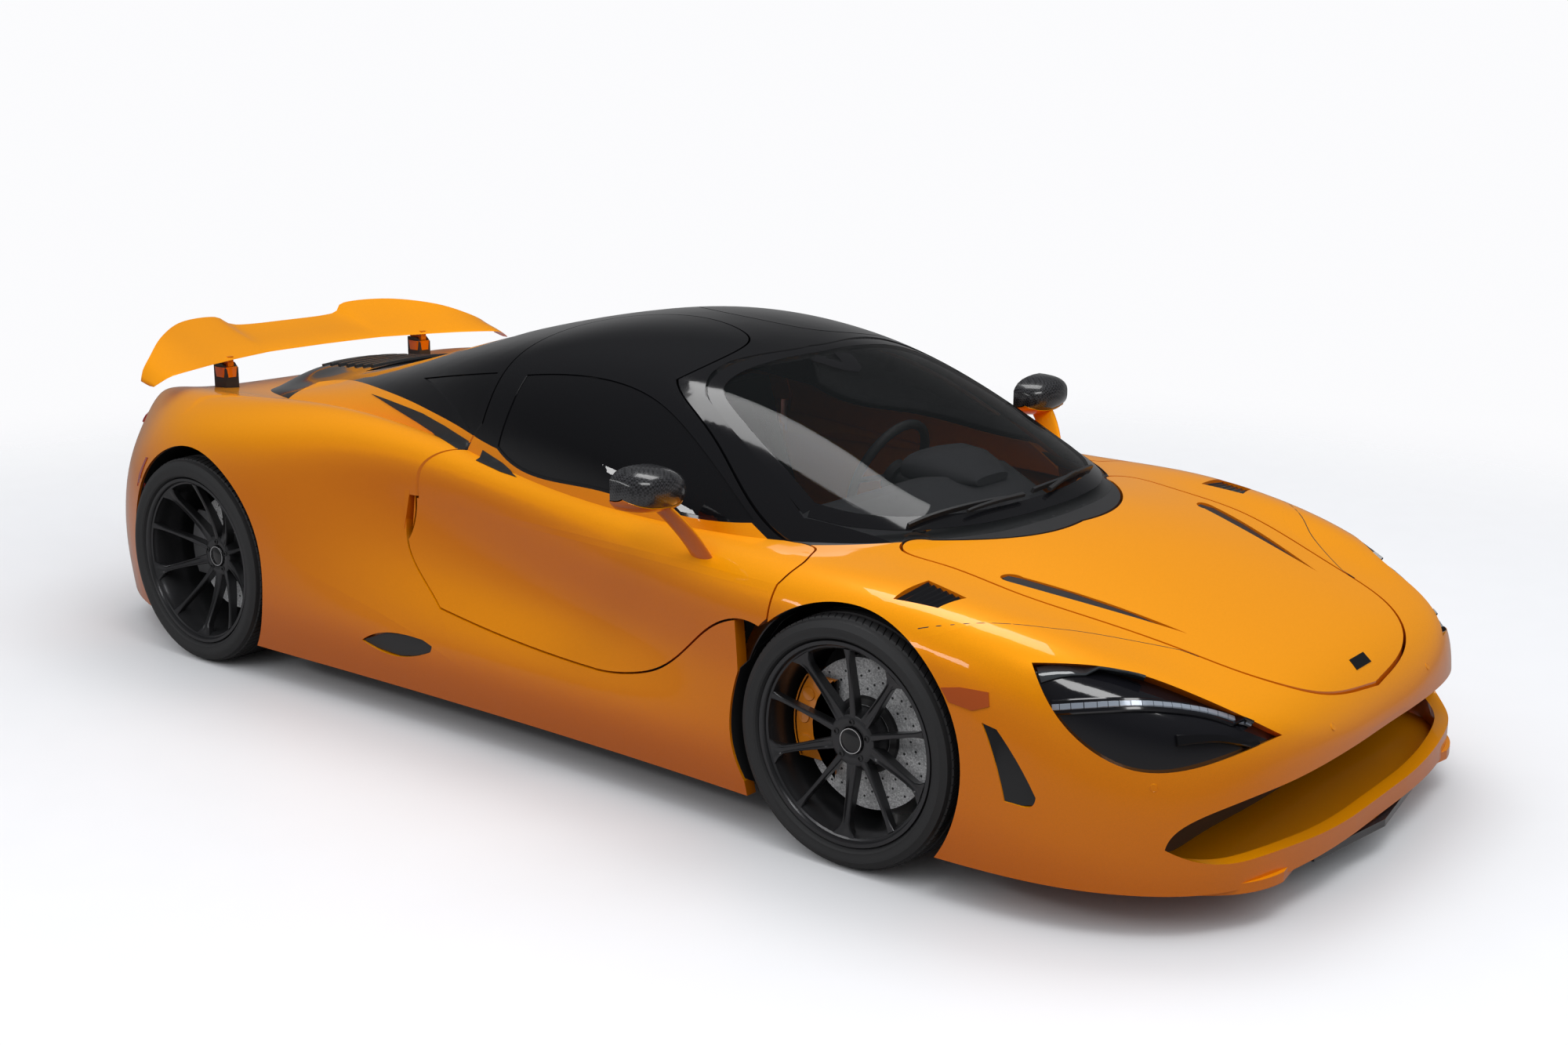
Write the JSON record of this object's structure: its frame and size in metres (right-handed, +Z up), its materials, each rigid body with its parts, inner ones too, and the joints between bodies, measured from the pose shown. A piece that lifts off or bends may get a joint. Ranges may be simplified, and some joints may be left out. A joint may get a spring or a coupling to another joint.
{
  "type": "mid-engine supercar",
  "caption": "Low two-seat mid-engine coupe with upswinging doors, front luggage lid, raised rear wing, steered front wheels and rolling wheels.",
  "frame": {"origin": "on the ground under the middle of the car's box", "axes": "+X forward, +Y to the car's left, +Z up"},
  "size_m": [4.543, 2.1532, 1.1953],
  "materials": {
    "paint": "glossy pearl orange paint",
    "black_trim": "gloss black",
    "carbon_tub": "satin carbon composite",
    "suede": "dark suede",
    "leather": "black leather",
    "lamp": "dark lamp housing",
    "glass": "tinted glass",
    "cast_alloy": "cast",
    "steel": "satin",
    "tyre": "matt rubber",
    "wheel_black": "satin black",
    "disc": "drilled ceramic composite"
  },
  "bodies": {
    "chassis": {"cowl": "black_trim", "dashboard": "suede", "diffuser": "black_trim", "door_hinges": "steel", "engine": "cast_alloy", "engine_cover": "paint", "exhaust": "steel", "fender_left": "paint", "fender_right": "paint", "front_bumper": "paint", "front_grille": "black_trim", "front_lip": "black_trim", "front_splitter": "paint", "headlamp_left": "lamp", "headlamp_right": "lamp", "quarter_left": "paint", "quarter_right": "paint", "quarter_windows": "glass", "rear_bumper": "paint", "rear_uprights": "cast_alloy", "rear_window": "glass", "roof": "black_trim", "seat_left": "suede", "seat_right": "suede", "sill_left": "paint", "sill_right": "paint", "steering_wheel": "leather", "suspension_arms": "cast_alloy", "tail_lamps": "lamp", "tub": "carbon_tub", "wheel_liners": "black_trim", "windscreen": "glass"},
    "door_right": {"door_right": "paint", "door_frame_right": "black_trim", "door_glass_right": "glass", "mirror_right": "black_trim"},
    "door_left": {"door_left": "paint", "door_frame_left": "black_trim", "door_glass_left": "glass", "mirror_left": "black_trim"},
    "bonnet": {"bonnet": "paint"},
    "wing_struts": {"wing_struts": "black_trim"},
    "wing": {"wing": "paint"},
    "knuckle_right": {"front_knuckle_right": "cast_alloy"},
    "knuckle_left": {"front_knuckle_left": "cast_alloy"},
    "wheel_front_right": {"front_tyre_right": "tyre", "front_rim_right": "wheel_black", "front_disc_right": "disc"},
    "wheel_front_left": {"front_tyre_left": "tyre", "front_rim_left": "wheel_black", "front_disc_left": "disc"},
    "wheel_rear_right": {"rear_tyre_right": "tyre", "rear_rim_right": "wheel_black", "rear_disc_right": "disc"},
    "wheel_rear_left": {"rear_tyre_left": "tyre", "rear_rim_left": "wheel_black", "rear_disc_left": "disc"}
  },
  "joints": [
    {"name": "steer_left", "type": "hinge", "parent": "chassis", "child": "knuckle_left", "pos_m": [1.2505, 0.84, 0.327], "axis": [0, 0, 1], "range_deg": [-32, 32]},
    {"name": "steer_right", "type": "hinge", "parent": "chassis", "child": "knuckle_right", "pos_m": [1.2505, -0.84, 0.327], "axis": [0, 0, 1], "range_deg": [-32, 32]},
    {"name": "wheel_front_left_spin", "type": "hinge", "parent": "knuckle_left", "child": "wheel_front_left", "pos_m": [1.2505, 0.84, 0.327], "axis": [0, 1, 0], "continuous": true},
    {"name": "wheel_front_right_spin", "type": "hinge", "parent": "knuckle_right", "child": "wheel_front_right", "pos_m": [1.2505, -0.84, 0.327], "axis": [0, 1, 0], "continuous": true},
    {"name": "wheel_rear_left_spin", "type": "hinge", "parent": "chassis", "child": "wheel_rear_left", "pos_m": [-1.4195, 0.8145, 0.345], "axis": [0, 1, 0], "continuous": true},
    {"name": "wheel_rear_right_spin", "type": "hinge", "parent": "chassis", "child": "wheel_rear_right", "pos_m": [-1.4195, -0.8145, 0.345], "axis": [0, 1, 0], "continuous": true},
    {"name": "door_right_hinge", "type": "hinge", "parent": "chassis", "child": "door_right", "pos_m": [1.072, -0.878, 0.683], "axis": [0.1302, 0.9567, 0.2605], "range_deg": [0, 64]},
    {"name": "door_left_hinge", "type": "hinge", "parent": "chassis", "child": "door_left", "pos_m": [1.072, 0.878, 0.683], "axis": [-0.1302, 0.9567, -0.2605], "range_deg": [0, 64]},
    {"name": "bonnet_hinge", "type": "hinge", "parent": "chassis", "child": "bonnet", "pos_m": [1.118, 0, 0.742], "axis": [0, -1, 0], "range_deg": [0, 60]},
    {"name": "wing_lift", "type": "slide", "parent": "chassis", "child": "wing_struts", "axis": [0, 0, 1], "range_m": [-0.05, 0]},
    {"name": "wing_tilt", "type": "hinge", "parent": "wing_struts", "child": "wing", "pos_m": [-1.9, 0, 0.89], "axis": [0, 1, 0], "range_deg": [0, 28]}
  ],
  "couplings": [
    {"joint": "steer_right", "follows": "steer_left", "ratio": 1}
  ]
}
